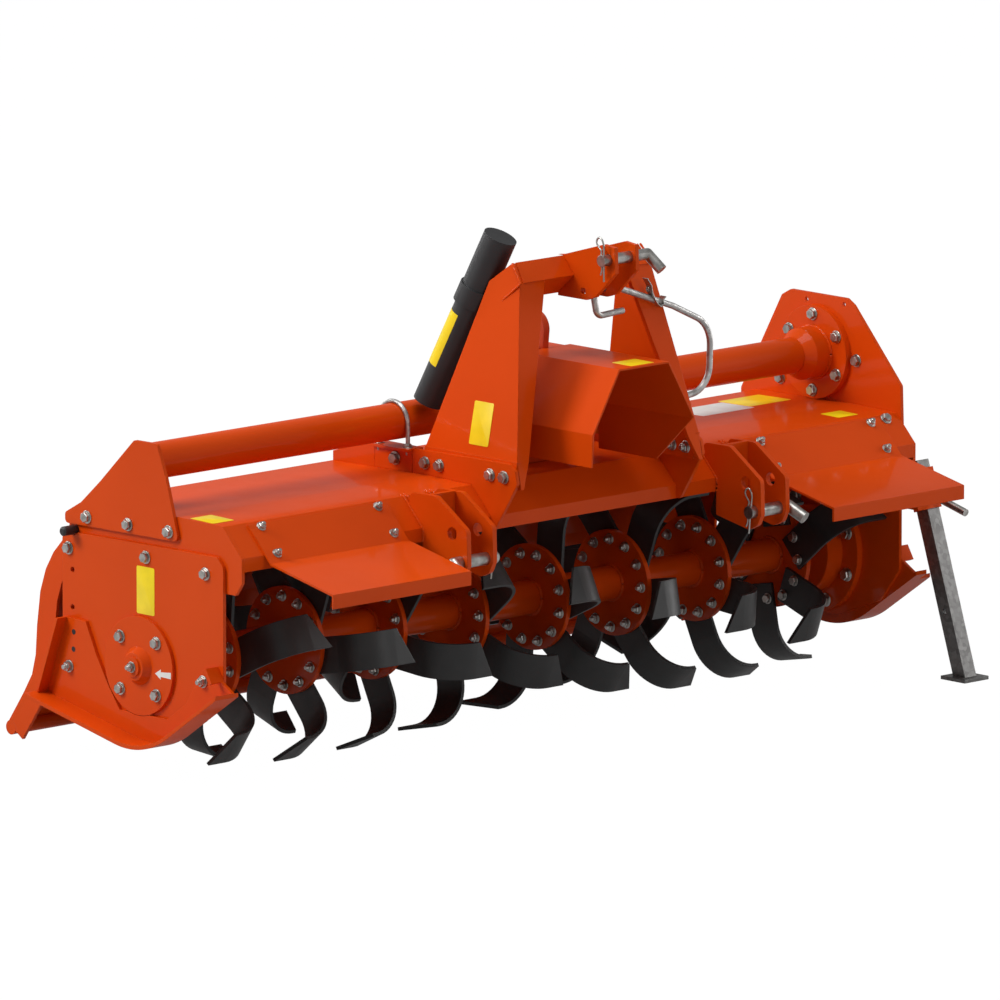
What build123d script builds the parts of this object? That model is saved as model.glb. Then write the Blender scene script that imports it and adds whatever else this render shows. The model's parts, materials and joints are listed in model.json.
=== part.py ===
from build123d import *
from math import atan, cos, degrees, radians, sin, sqrt
import os

os.makedirs("parts", exist_ok=True)

# Rotary tiller, millimetres. X runs across the machine, Y to its rear, Z up.
# Everything is drawn about the middle of the rotor's axis. The last lines move it
# so that the origin is on the floor, under the middle of the machine's box.

# Frame ends
plate_outer = 1024.0        # from the middle to the outer face of each side plate
side_thick = 8.0
cheek_thick = 8.0
plate_face = plate_outer - side_thick
cheek_face = plate_face - cheek_thick
plate_corner = 20.0
upper_corner = 10.0

# Rotor
tine_reach = 257.0          # radius at the tines' leading corners
tube_radius = 38.0
tube_wall = 12.0
hub_plug = 45.0
flange_radius = 118.0
flange_thick = 12.0
flange_count = 8
first_flange = 177 - plate_outer
last_flange = plate_outer - 149
flange_pitch = (last_flange - first_flange) / (flange_count - 1)
bolt_circle = 98.0
journal_radius = 22.0
journal_reach = 18.0        # past the side plates
cover_radius = 108.0
cover_thick = 8.0
cover_cap = 24.0
running_gap = 0.1
hub_radius = 55.0
hub_gap = 6.0

# Tines, flat bar bent sideways
tine_width = 80.0
tine_thick = 8.0
tine_bend = 90.0
tine_span = 140.0
tine_rake = 24.0            # degrees that the shank leans back from the radius
tine_root = 27.0            # shank inside the bolt circle
tine_step = 15.0            # degrees from one flange to the next
tines_each = 3              # of each hand on a flange
tine_cut = 42.0             # how far the tip slants back to its trailing edge

# Drive line
line_height = 441.0
line_radius = 40.0
line_wall = 8.0
disc_radius = 105.0
disc_thick = 14.0
collar_radius = 58.0
collar_length = 42.0
collar_taper = 24.0
hood_clear = 1.0            # from the tube's right disc up to the hood's top, taken into it
pto_radius = 17.4
pto_inner_radius = 22.0
pto_reach = 100.0

# Hood: its outer line from the rear edge to the front lip, heights from its top
hood_top = line_height - disc_radius + hood_clear
hood_thick = 6.0
hood_rise = [(236, -31), (190, -6), (-110, 0), (-250, -3), (-310, -65), (-310, -95)]
cheek_drop = 190.0
hinge_y = 213.0
hinge_z = hood_top - 69
hinge_radius = 8.0
hinge_reach = 1058.0

# Tailgate: its outer line from the hinge down
gate_thick = 5.0
gate_line = [(238, hinge_z - 9), (274, hinge_z - 34), (303, hinge_z - 64), (328, hinge_z - 104), (346, 113), (357, 36),
             (362, -29), (374, -74), (400, -116), (452, -190)]
gate_rim = 56.0
gate_edge_radius = 16.0
gate_gap = 6.0
eye_radius = 15.0
eye_length = 60.0
inner_eye_x = 280.0
outer_eye_x = 820.0

# Headstock
leg_thick = 10.0
leg_top_x = 197.0
leg_foot_x = 275.0
leg_foot_z = hood_top + 55
leg_height = 380.0
leg_top_z = leg_foot_z + leg_height
leg_tab_z = hood_top + 1
leg_front_low = -384.0
leg_front_high = -310.0
leg_flange = 34.0
bar_thick = 8.0
bar_low = 44.0
bar_high = 40.0
bar_line = [(-262, leg_top_z - bar_low), (-312, leg_top_z), (-279, leg_top_z + bar_high)]
ear_inner = 26.0
ear_thick = 10.0
top_pin_y = -418.0
top_pin_z = leg_top_z + 46
top_pin_radius = 12.5

# Hood brackets, lower hitch and shelves
bracket_thick = 8.0
bracket_corner = 12.0
clevis_x = 442.0
clevis_gap = 64.0
clevis_thick = 12.0
clevis_corner = 16.0
hitch_y = -427.0
hitch_z = hood_top - 125
spare_y = -402.0
spare_z = hitch_z + 60
hitch_radius = 14.0
pin_clearance = 0.3
shelf_inner = 547.0
shelf_outer = 951.0
shelf_front = -526.0
shelf_front_z = hood_top - 121
shelf_lip = 32.0
shelf_thick = 5.0

# Shaft guard
guard_thick = 4.0
guard_front = -493.0
guard_rear = -193.0
guard_rise = [(-158, -55), (-154, 17), (-75, 151), (75, 151), (154, 17), (158, -55)]
guard_line = [(x, line_height + z) for x, z in guard_rise]
guard_plate_thick = 8.0

# Gearbox and lifting eye
gearbox_half = 86.0
gearbox_low = hood_top + 0.5
gearbox_high = line_height + 144
gearbox_rear = 62.0
box_flange_radius = 66.0
boss_side = 34.0
boss_rise = 7.0
boss_setback = 30.0
boss_length = 70.0
eye_y = -150.0
eye_z = gearbox_high + boss_rise + 40
eye_radius_outer = 40.0
eye_bore = 17.0
eye_thick = 16.0

# Parking stand
stand_x = plate_outer + 58
stand_side = 36.0
stand_wall = 3.0
stand_lean = 18.1           # degrees forward at the foot
stand_top = 217.0
stand_front_y = -302.5      # front face of the leg at the height below
stand_front_z = 112.0
stand_clear = 8.0
stand_hole_z = -106.0
stand_hole = 6.5
foot_side = 75.0
foot_thick = 8.0
sleeve_gap = 0.3
sleeve_wall = 4.0
sleeve_low = 112.0
sleeve_length = 92.0

# Skid
skid_thick = 8.0
skid_flare = 66.0
skid_reach = plate_outer + skid_flare
skid_lip = 36.0

# Manual holder, rest hook and tube clamps
holder_low = Vector(-222, -51, line_height + 43)
holder_rise = 377.0
holder_high = holder_low + Vector(55, -168, holder_rise)
holder_radius = 35.0
cap_length = 170.0
cap_radius = 37.5
cap_collar_radius = 41.5
cap_collar_length = 44.0
hook_radius = 7.0
hook_y = -340.0
clamp_thick = 6.0
clamp_top = line_height - 53
clamp_low = line_height - 141
clamp_front = -62.0
clamp_rear = 60.0
clamp_inside = 34.0
clamp_outside = 14.0


def plate(outline, x_start, thickness, holes=(), radius=0.0):
    """A plate standing across X, from its outline in Y and Z."""
    if radius:
        wire = FilletPolyline(*outline, radius=radius, close=True)
    else:
        wire = Polyline(*outline, close=True)
    body = extrude(Plane.YZ.offset(x_start) * make_face(wire), amount=thickness)
    for y, z, hole in holes:
        body -= rod(x_start - 1, thickness + 2, y, z, hole)
    return body


def rod(x_start, length, y, z, radius):
    """A round bar along X."""
    return Pos(x_start + length / 2, y, z) * Rot(0, 90, 0) * Cylinder(radius, length)


def block(x, y, z):
    """A box from its low and high value on each axis."""
    size = [high - low for low, high in (x, y, z)]
    middle = [(high + low) / 2 for low, high in (x, y, z)]
    return Pos(*middle) * Box(*size)


def band(line, thickness):
    """The outline of a bent sheet: a line and the same line moved to its left."""
    points = [Vector(a, b) for a, b in line]
    moved = []
    for i, point in enumerate(points):
        before = (point - points[i - 1]).normalized() if i else (points[1] - point).normalized()
        after = (points[i + 1] - point).normalized() if i < len(points) - 1 else before
        left_before = Vector(-before.Y, before.X)
        left_after = Vector(-after.Y, after.X)
        share = thickness / (1 + left_before.dot(left_after))
        moved.append(point + (left_before + left_after) * share)
    return [(p.X, p.Y) for p in points + moved[::-1]]


def mirrored(shape):
    """The same piece on the machine's other side."""
    return mirror(shape, about=Plane.YZ)


def over_hood(line):
    """An outline given by its heights from the hood's top."""
    return [(y, hood_top + z) for y, z in line]


parts = {}

# ---------------------------------------------------------------- hood and ends

hood_line = over_hood(hood_rise)
under_hood = plate(hood_line + [(hood_line[-1][0], -400), (hood_line[0][0], -400)], -1200, 2400)
parts["hood"] = plate(band(hood_line, hood_thick), -cheek_face, 2 * cheek_face)

cheek_outline = hood_line[:-1] + [(-310, 218), (-290, cheek_drop), (232, cheek_drop), (236, 230)]
upper_left_rise = [(241, -57), (241, -34), (190, -6), (129, 47), (20, 151), (-52, 152), (-80, 81), (-117, -43),
                   (-108, -53)]
upper_right_rise = [(241, -57), (241, -7), (112, 219), (84, 234), (-92, 234), (-114, 221), (-262, 58), (-266, -53)]
side_outline = [(250, 262), (-240, 268), (-260, 248), (-260, -20), (-200, -96), (-70, -146), (60, -146), (190, -100),
                (250, -30)]
cheek = plate(cheek_outline, cheek_face, cheek_thick, [(hinge_y, hinge_z, hinge_radius + running_gap)])
parts["cheek_right"] = cheek
parts["cheek_left"] = mirrored(cheek)
side_holes = [(0, 0, journal_radius + running_gap), (218, 180, 6), (218, 98, 6), (206, 46, 6), (207, 8, 6)]
side = plate(side_outline, plate_face, side_thick, side_holes, plate_corner)
hinge_notch = rod(plate_face - 1, side_thick + 2, hinge_y, hinge_z, hinge_radius + 4)
side = side - hinge_notch
parts["side_plate_right"] = side
parts["side_plate_left"] = mirrored(side)
upper_holes = [(34, hood_top + 217, 5), (-84, hood_top + 219, 5)]
upper_right = plate(over_hood(upper_right_rise), plate_face, side_thick, upper_holes, upper_corner) - hinge_notch - side
upper_left = plate(over_hood(upper_left_rise), plate_face, side_thick, radius=upper_corner) - hinge_notch - side
parts["upper_plate_right"] = upper_right
parts["upper_plate_left"] = mirrored(upper_left)
parts["hinge_rod"] = rod(-hinge_reach, 2 * hinge_reach, hinge_y, hinge_z, hinge_radius)

# Bearing housings at the rotor's ends, and the drive case outside the right plates
cover = rod(plate_outer, cover_thick, 0, 0, cover_radius)
cap_cone = Cone(journal_radius + 26, journal_radius + 8, cover_cap)
cover += Pos(plate_outer + cover_cap / 2, 0, 0) * Rot(0, 90, 0) * cap_cone
cover += rod(plate_outer + cover_cap - 1, 5, 0, 0, journal_radius)
cover -= rod(plate_outer - 1, journal_reach + 2, 0, 0, journal_radius + running_gap)
parts["bearing_cover"] = mirrored(cover)
housing_radius = 145.0
housing_boss = 98.0
housing_depth = 62.0
housing_flange = 16.0
housing = rod(plate_face - housing_depth, housing_depth, 0, 0, housing_boss)
housing += rod(plate_face - housing_flange, housing_flange, 0, 0, housing_radius)
housing -= rod(plate_face - housing_depth - 1, housing_depth - hub_gap + 1, 0, 0, tube_radius + hub_gap)
housing -= rod(plate_face - hub_gap - 1, hub_gap + 2, 0, 0, journal_radius + running_gap)
parts["bearing_housing"] = housing
case_depth = 54.0
case_low_radius = 100.0
case_high_radius = 96.0
case_side = [(-case_low_radius, 0), (case_low_radius, 0), (case_high_radius, line_height),
             (-case_high_radius, line_height)]
case = plate(case_side, plate_outer, case_depth)
case += rod(plate_outer, case_depth, 0, 0, case_low_radius)
case += rod(plate_outer, case_depth, 0, line_height, case_high_radius)
case -= rod(plate_outer - 1, 22, 0, 0, journal_radius + running_gap)
parts["drive_case"] = case

# ---------------------------------------------------------------- skids

sole_line = [(302, -102), (-74, -184), (-306, -26)]
sole_radius = 210.0
web_top = [(-306, -26), (-262, 0), (-243, 31), (-204, 20), (-150, -62), (-90, -104), (60, -104), (96, -56), (134, 5),
           (168, 74), (236, 76), (302, -102)]
web_wire = FilletPolyline(*sole_line, radius=sole_radius) + Polyline(*web_top)
web = extrude(Plane.YZ.offset(plate_outer) * make_face(web_wire), amount=skid_thick)
web -= rod(plate_outer - 1, skid_thick + 2, 0, 0, cover_radius + 1)
under = FilletPolyline(*sole_line, radius=sole_radius)
over = FilletPolyline(*[(y, z + skid_thick + 1) for y, z in sole_line], radius=sole_radius)
ends = Line(under @ 1, over @ 1) + Line(over @ 0, under @ 0)
sole = extrude(Plane.YZ.offset(plate_outer) * make_face(under + over + ends), amount=skid_reach - plate_outer)
rear_lip = plate([(236, 76), (302, -102), (294, -102), (227, 76)], plate_outer, skid_lip)
front_lip = plate([(-262, 0), (-243, 31), (-236, 29), (-252, -4)], plate_outer, skid_lip)
skid = web + sole + rear_lip + front_lip
parts["skid_left"] = mirrored(skid)

# ---------------------------------------------------------------- cross tubes and gearbox

tube_low = gearbox_half + disc_thick
tube_high = cheek_face - disc_thick


line_bore = rod(tube_low, tube_high - tube_low, 0, line_height, line_radius - line_wall)


def cross_tube(radius):
    """A drive-line tube with its two end flanges, on the right side."""
    tube = rod(gearbox_half, plate_face - gearbox_half, 0, line_height, line_radius)
    tube += rod(gearbox_half, disc_thick, 0, line_height, box_flange_radius)
    tube += rod(plate_face - disc_thick, disc_thick, 0, line_height, radius)
    collar_start = plate_face - disc_thick - collar_length
    tube += rod(collar_start, collar_length, 0, line_height, collar_radius)
    taper = Cone(line_radius + 2, collar_radius, collar_taper)
    tube += Pos(collar_start - collar_taper / 2, 0, line_height) * Rot(0, 90, 0) * taper
    return tube - line_bore


parts["cross_tube_right"] = cross_tube(disc_radius)
left_tube = rod(gearbox_half, plate_face - gearbox_half, 0, line_height, line_radius)
left_tube += rod(gearbox_half, disc_thick, 0, line_height, box_flange_radius)
parts["cross_tube_left"] = mirrored(left_tube - line_bore)

gearbox_front = guard_rear + guard_plate_thick
gearbox = block((-gearbox_half, gearbox_half), (gearbox_front, gearbox_rear), (gearbox_low, gearbox_high))
gearbox = chamfer(gearbox.edges().filter_by(Axis.X), 26)
boss_top = gearbox_high + boss_rise
boss_front = gearbox_front + boss_setback
gearbox += block((-boss_side, boss_side), (boss_front, boss_front + boss_length), (gearbox_high - 1, boss_top))
shaft_bore = Pos(0, gearbox_front + 25, line_height) * Rot(90, 0, 0) * Cylinder(pto_inner_radius + running_gap, 72)
gearbox -= shaft_bore
parts["gearbox"] = gearbox
eye_foot = eye_radius_outer - 4
eye_outline = [(eye_y - eye_foot, boss_top), (eye_y + eye_foot, boss_top), (eye_y + eye_radius_outer, eye_z),
               (eye_y - eye_radius_outer, eye_z)]
eye = plate(eye_outline, -eye_thick / 2, eye_thick)
eye += rod(-eye_thick / 2, eye_thick, eye_y, eye_z, eye_radius_outer)
eye -= rod(-eye_thick, 2 * eye_thick, eye_y, eye_z, eye_bore)
parts["lifting_eye"] = eye

# ---------------------------------------------------------------- shaft guard and input shaft

guard_right_low = line_height - 88
guard_bend = guard_line[:-1] + [(guard_line[-1][0], guard_right_low)]
guard_face = Plane.XZ.offset(-guard_rear) * make_face(Polyline(*band(guard_bend, -guard_thick), close=True))
guard = extrude(guard_face, amount=guard_rear - guard_front)
corner_cut = [(guard_front - 1, guard_line[-2][1] + 5), (guard_front - 1, guard_right_low - 1),
              (guard_front + 121, guard_right_low - 1)]
parts["shaft_guard"] = guard - plate(corner_cut, guard_line[-3][0], guard_line[-1][0])
plate_face_xz = Plane.XZ.offset(-guard_rear - guard_plate_thick) * make_face(Polyline(*guard_line, close=True))
parts["guard_plate"] = extrude(plate_face_xz, amount=guard_plate_thick) - shaft_bore
shaft_start = gearbox_front + 55
shaft_end = guard_rear - pto_reach
shaft = Pos(0, guard_rear - pto_reach / 2, line_height) * Rot(90, 0, 0) * Cylinder(pto_radius, pto_reach)
inner_length = shaft_start - guard_rear
inner_place = Pos(0, guard_rear + inner_length / 2, line_height)
shaft += inner_place * Rot(90, 0, 0) * Cylinder(pto_inner_radius, inner_length)
parts["input_shaft"] = shaft

# ---------------------------------------------------------------- headstock

lean = (leg_foot_x - leg_top_x) / (leg_top_z - leg_foot_z)
rise = sqrt(1 + lean * lean)
leg_plane = Plane(origin=(leg_foot_x, 0, leg_foot_z), x_dir=(0, 1, 0), z_dir=(1, 0, lean))
leg_outline = [(-94, 0), (-216, (leg_height - 6) * rise), (-279, (leg_height + 40) * rise),
               (leg_front_high, leg_height * rise), (leg_front_low, 0)]
leg = extrude(leg_plane * make_face(Polyline(*leg_outline, close=True)), amount=-leg_thick)
front_rake = (leg_front_low - leg_front_high) / leg_height
flange_plane = Plane(origin=(0, leg_front_low, leg_foot_z), x_dir=(1, 0, 0), z_dir=(0, -1, -front_rake))
slope = sqrt(1 + front_rake * front_rake)
high = leg_height * slope
flange_drop = leg_foot_z - leg_tab_z
flange_outline = [(leg_foot_x - 2, 0), (leg_foot_x - 2, -flange_drop), (leg_foot_x - leg_thick, -flange_drop),
                  (leg_foot_x - leg_flange, 0), (leg_top_x - 76, high), (leg_top_x - 2, high)]
leg += extrude(flange_plane * make_face(Polyline(*flange_outline, close=True)), amount=-leg_thick)
foot_top_z = leg_foot_z + 6
tab_outline = [(-94, foot_top_z), (-88, leg_tab_z), (leg_front_low - front_rake * flange_drop, leg_tab_z),
               (leg_front_low, foot_top_z)]
leg += plate(tab_outline, leg_foot_x - leg_thick, leg_thick)
leg -= under_hood
parts["headstock_leg_right"] = leg
parts["headstock_leg_left"] = mirrored(leg)

inner_low = leg_foot_x - leg_thick * rise
past_top = leg_top_z + 3 * bar_high
inner_high = inner_low - (past_top - leg_foot_z) * lean
between = make_face(Polyline((-inner_low, leg_foot_z), (inner_low, leg_foot_z), (inner_high, past_top),
                             (-inner_high, past_top), close=True))
bar = plate(band(bar_line, -bar_thick), -leg_foot_x, 2 * leg_foot_x)
bar &= extrude(Plane.XZ * between, amount=leg_foot_z + 200, both=True)
parts["headstock_bar"] = bar - leg - mirrored(leg)
bar_behind = [(-150, leg_top_z + bar_high), (-150, leg_top_z - bar_low)]
bar_room = plate(bar_line + bar_behind, -2 * ear_inner, 4 * ear_inner)
ear_rise = [(-262, bar_high), (-279, 42), (-404, 78), (-438, 74), (-440, 18), (-378, -41), (-351, -50), (-262, -50)]
ear_outline = [(y, leg_top_z + z) for y, z in ear_rise]
ear_holes = [(top_pin_y, top_pin_z, top_pin_radius + pin_clearance), (hook_y, leg_top_z - 32, hook_radius + 1)]
ear = plate(ear_outline, ear_inner, ear_thick, ear_holes) - bar_room
parts["top_link_ears"] = Compound(children=[ear, mirrored(ear)])


def bent_pin(x_inner, x_outer, y, z, radius, droop):
    """A straight pin along X with its handle bent forward and down."""
    pin = rod(x_inner, x_outer - x_inner, y, z, radius)
    pin += Pos(x_outer, y, z) * Sphere(radius)
    handle_plane = Plane(origin=(x_outer, y, z), z_dir=(0.25, -cos(radians(droop)), -sin(radians(droop))))
    pin += extrude(handle_plane * Circle(radius), amount=48)
    return pin


parts["top_link_pin"] = bent_pin(-58, 82, top_pin_y, top_pin_z, top_pin_radius, 45)

# ---------------------------------------------------------------- brackets and lower hitch

bracket_outline = over_hood([(-64, 53), (-366, 57), (-386, 44), (-392, 14), (-322, -94), (-64, -94)])
bracket = plate(bracket_outline, leg_foot_x, bracket_thick, radius=bracket_corner) - under_hood
parts["hood_bracket_right"] = bracket
parts["hood_bracket_left"] = mirrored(bracket)

clevis_outline = over_hood([(-268, 9), (-352, 10), (-448, -54), (-450, -131), (-438, -155), (-412, -167), (-312, -147),
                            (-268, -117)])
pin_hole = hitch_radius + pin_clearance
clevis_holes = [(hitch_y, hitch_z, pin_hole), (spare_y, spare_z, pin_hole)]
near = clevis_x - clevis_gap / 2 - clevis_thick
far = clevis_x + clevis_gap / 2
clevis = plate(clevis_outline, near, clevis_thick, clevis_holes, clevis_corner)
clevis += plate(clevis_outline, far, clevis_thick, clevis_holes, clevis_corner)
clevis += plate(over_hood([(-320, 10), (-332, 10), (-332, -137), (-320, -137)]), near, far - near + clevis_thick)
clevis -= under_hood
parts["hitch_clevis_right"] = clevis
parts["hitch_clevis_left"] = mirrored(clevis)
hitch_pin = bent_pin(near - 16, far + clevis_thick + 18, hitch_y, hitch_z, hitch_radius, 30)
parts["hitch_pin_right"] = hitch_pin
parts["hitch_pin_left"] = mirrored(hitch_pin)

# Guard shelves lie on the hood's front slope
slope_low = Vector(*hood_line[4])
slope_dir = (Vector(*hood_line[3]) - slope_low).normalized()
shelf_bend = slope_low - slope_dir * 28
shelf_top = slope_low + slope_dir * 78
shelf_line = [(shelf_top.X, shelf_top.Y), (shelf_bend.X, shelf_bend.Y),
              (shelf_front + shelf_thick, shelf_front_z - shelf_thick),
              (shelf_front + shelf_thick, shelf_front_z - shelf_lip)]
shelf = plate(band(shelf_line, -shelf_thick), shelf_inner, shelf_outer - shelf_inner)
parts["front_shelf_right"] = shelf
parts["front_shelf_left"] = mirrored(shelf)

# ---------------------------------------------------------------- parking stand

lean_y = sin(radians(stand_lean))
lean_z = cos(radians(stand_lean))
mid_y = stand_front_y + stand_side / 2 / lean_z


def stand_point(z):
    """A point on the leg's middle line at a height."""
    return (stand_x, mid_y + (z - stand_front_z) * lean_y / lean_z, z)


rotor_height = tine_reach * cos(radians(tine_step / 2))
foot_top = foot_thick - rotor_height
leg_base = Plane(origin=stand_point(foot_top - 30), x_dir=(1, 0, 0), z_dir=(0, lean_y, lean_z))
leg_length = (stand_top - foot_top + 30) / lean_z
inner_side = stand_side - 2 * stand_wall
leg_section = Rectangle(stand_side, stand_side) - Rectangle(inner_side, inner_side)
stand = extrude(leg_base * leg_section, amount=leg_length)
foot_x, foot_y, foot_z = stand_point(foot_top)
stand -= Pos(foot_x, foot_y, foot_top - 100) * Box(200, 300, 200)
stand += Pos(foot_x, foot_y, foot_top - foot_thick / 2) * Box(foot_side, foot_side, foot_thick)
hole_x, hole_y, hole_z = stand_point(stand_hole_z)
stand -= rod(hole_x - stand_side, 2 * stand_side, hole_y, hole_z, stand_hole)
parts["stand_leg"] = stand
stand_edge = stand_side / 2 + stand_clear
stand_room = extrude(leg_base * Rectangle(2 * stand_edge, 2 * stand_edge), amount=leg_length)
notch = block((stand_x - stand_edge, stand_x + 2 * stand_side), (mid_y - 150, mid_y), (-rotor_height - 150, 60))
parts["skid_right"] = skid - stand_room - notch

sleeve_plane = Plane(origin=stand_point(sleeve_low), x_dir=(1, 0, 0), z_dir=(0, lean_y, lean_z))
hole_side = stand_side + 2 * sleeve_gap
sleeve_side = hole_side + 2 * sleeve_wall
sleeve = extrude(sleeve_plane * (Rectangle(sleeve_side, sleeve_side) - Rectangle(hole_side, hole_side)),
                 amount=sleeve_length)
arm_x = stand_x - sleeve_side / 2
arm = plate([(-250, 120), (-312, 120), (-290, 190), (-228, 190)], plate_outer, arm_x - plate_outer)
parts["stand_sleeve"] = sleeve + arm

# ---------------------------------------------------------------- manual holder, rest hook, tube clamps

holder_dir = (holder_high - holder_low).normalized()
holder_length = (holder_high - holder_low).length
holder_plane = Plane(origin=holder_low, z_dir=holder_dir)
holder = extrude(holder_plane * Circle(holder_radius), amount=holder_length - cap_length)
cap_plane = Plane(origin=holder_low + holder_dir * (holder_length - cap_length), z_dir=holder_dir)
cap = extrude(cap_plane * Circle(cap_radius), amount=cap_length)
cap += extrude(cap_plane * Circle(cap_collar_radius), amount=cap_collar_length)
parts["manual_tube"] = holder
parts["manual_tube_cap"] = cap

hook_points = [(84, -88), (6, -92), (-8, -30), (62, -34), (236, -96), (350, -150), (346, -292), (268, -300)]
hook_radii = [18, 18, 80, 80, 70, 60]
hook_path = FilletPolyline(*[(x, hook_y, leg_top_z + z) for x, z in hook_points], radius=hook_radii)
hook = sweep(Plane(origin=hook_path @ 0, z_dir=hook_path % 0) * Circle(hook_radius), path=hook_path)
parts["shaft_hook"] = hook

clamp_face = leg_foot_x + bracket_thick
clamp = block((clamp_face - clamp_thick, clamp_face), (clamp_front, clamp_rear), (clamp_low, clamp_top))
clamp += block((clamp_face - clamp_inside, clamp_face + clamp_outside), (clamp_front, clamp_rear),
               (clamp_top - clamp_thick, clamp_top))
clamp = clamp - under_hood - bracket - leg
parts["tube_clamp_right"] = clamp
parts["tube_clamp_left"] = mirrored(clamp)

# ---------------------------------------------------------------- tailgate

gate_half = cheek_face - gate_gap
gate = plate(band(gate_line, -gate_thick), -gate_half, 2 * gate_half)
rim = plate(band(gate_line, -gate_rim), gate_half - 8, 8)
gate += rim + mirrored(rim)
edge_y = gate_line[-1][0] - 9
edge_z = gate_line[-1][1] - 11
edge_tube = rod(-gate_half, 2 * gate_half, edge_y, edge_z, gate_edge_radius)
gate -= edge_tube
parts["tailgate"] = gate
parts["tailgate_edge"] = edge_tube
eyes = []
gate_eye_xs = (-outer_eye_x, -inner_eye_x, inner_eye_x, outer_eye_x)
for x in gate_eye_xs:
    arm_outline = [(hinge_y, hinge_z - eye_radius), (238, hinge_z - 12), (266, hinge_z - 31), (262, hinge_z - 46),
                   (hinge_y - 10, hinge_z - 10)]
    eye_piece = rod(x - eye_length / 2, eye_length, hinge_y, hinge_z, eye_radius)
    eye_piece += plate(arm_outline, x - eye_length / 2, eye_length)
    eye_piece -= rod(x - eye_length, 2 * eye_length, hinge_y, hinge_z, hinge_radius + running_gap)
    eyes.append(eye_piece - gate)
parts["tailgate_hinges"] = Compound(children=eyes)

# ---------------------------------------------------------------- rotor

journal_end = plate_outer + journal_reach
hub_end = plate_face - hub_gap
rotor = rod(-journal_end, 2 * journal_end, 0, 0, journal_radius)
rotor += rod(-hub_end, 2 * hub_end, 0, 0, tube_radius)
rotor -= rod(hub_plug - hub_end, 2 * (hub_end - hub_plug), 0, 0, tube_radius - tube_wall)
flange_xs = [first_flange + i * flange_pitch for i in range(flange_count)]
for x in flange_xs:
    rotor += rod(x - flange_thick / 2, flange_thick, 0, 0, flange_radius)
parts["rotor_shaft"] = rotor

rake = radians(tine_rake)
side_lead = bolt_circle * sin(rake) + tine_width / 2
tine_height = sqrt(tine_reach ** 2 - side_lead ** 2) - bolt_circle * cos(rake)
lead_angle = tine_rake - degrees(atan(side_lead / (tine_height + bolt_circle * cos(rake))))


def tine_profile(face, bend):
    """The bar's edge view: X across, the shank's length up, bent to one side."""
    edge = 0 if bend == face else face * tine_thick
    low = tine_height - tine_bend
    turn = sin(radians(45))
    outer_mid = (edge + bend * tine_bend * (1 - turn), low + tine_bend * turn)
    inner_bend = tine_bend - tine_thick
    inner_mid = (edge + bend * (tine_bend - inner_bend * turn), low + inner_bend * turn)
    corner = (edge + bend * tine_bend, tine_height)
    tip = (edge + bend * tine_span, tine_height)
    back = (edge + bend * tine_thick, low)
    lines = [Line((edge, -tine_root), (edge, low)), ThreePointArc((edge, low), outer_mid, corner), Line(corner, tip),
             Line(tip, (tip[0], tip[1] - tine_thick)), Line((tip[0], tip[1] - tine_thick), (corner[0], corner[1] - tine_thick)),
             ThreePointArc((corner[0], corner[1] - tine_thick), inner_mid, back), Line(back, (back[0], -tine_root)),
             Line((back[0], -tine_root), (edge, -tine_root))]
    return make_face(lines)


def tine_shape(face, bend):
    """A tine about its root: X across, Y up the shank, Z to its leading edge, with the tip cut on a slant."""
    body = extrude(tine_profile(face, bend), amount=tine_width / 2, both=True)
    tip = (0 if bend == face else face * tine_thick) + bend * tine_span
    half = tine_width / 2
    slant = make_face(Polyline((tip, half), (tip - bend * tine_cut, -half), (tip + bend, -half - 1), (tip + bend, half),
                               close=True))
    return body - extrude(Plane.XZ * slant, amount=tine_height + 1, both=True)


def tine(shape, x, face, angle):
    """One tine in its place; its angle runs from straight down towards the front."""
    turned = radians(angle + tine_rake)
    root = (x + face * flange_thick / 2, -bolt_circle * sin(radians(angle)), -bolt_circle * cos(radians(angle)))
    plane = Plane(origin=root, x_dir=(1, 0, 0), z_dir=(0, cos(turned), -sin(turned)))
    return plane.location * shape


shapes = {(face, bend): tine_shape(face, bend) for face in (-1, 1) for bend in (-1, 1)}
tines = []
for i, x in enumerate(flange_xs):
    start = tine_step / 2 - lead_angle + tine_step * (flange_count - 2 - i)
    face = -1 if i == flange_count - 1 else 1
    for k in range(2 * tines_each):
        bend = 1 if k % 2 == 0 else -1
        tines.append(tine(shapes[face, bend], x, face, start + k * 180 / tines_each))
parts["rotor_tines"] = Compound(children=tines)

# ---------------------------------------------------------------- to the row's frame

gate_rear = edge_y + gate_edge_radius
middle_x = (stand_x + foot_side / 2 - skid_reach) / 2
middle_y = (shelf_front + max(gate_rear, gate_line[-1][0])) / 2
place = Pos(-middle_x, -middle_y, rotor_height)
for name, piece in parts.items():
    export_step(place * piece, f"parts/{name}.step")
print("shift", -middle_x, -middle_y, rotor_height, "pieces", len(parts))
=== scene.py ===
import bpy
import bmesh
import json
import math
import random
from mathutils import Matrix, Vector


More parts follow.
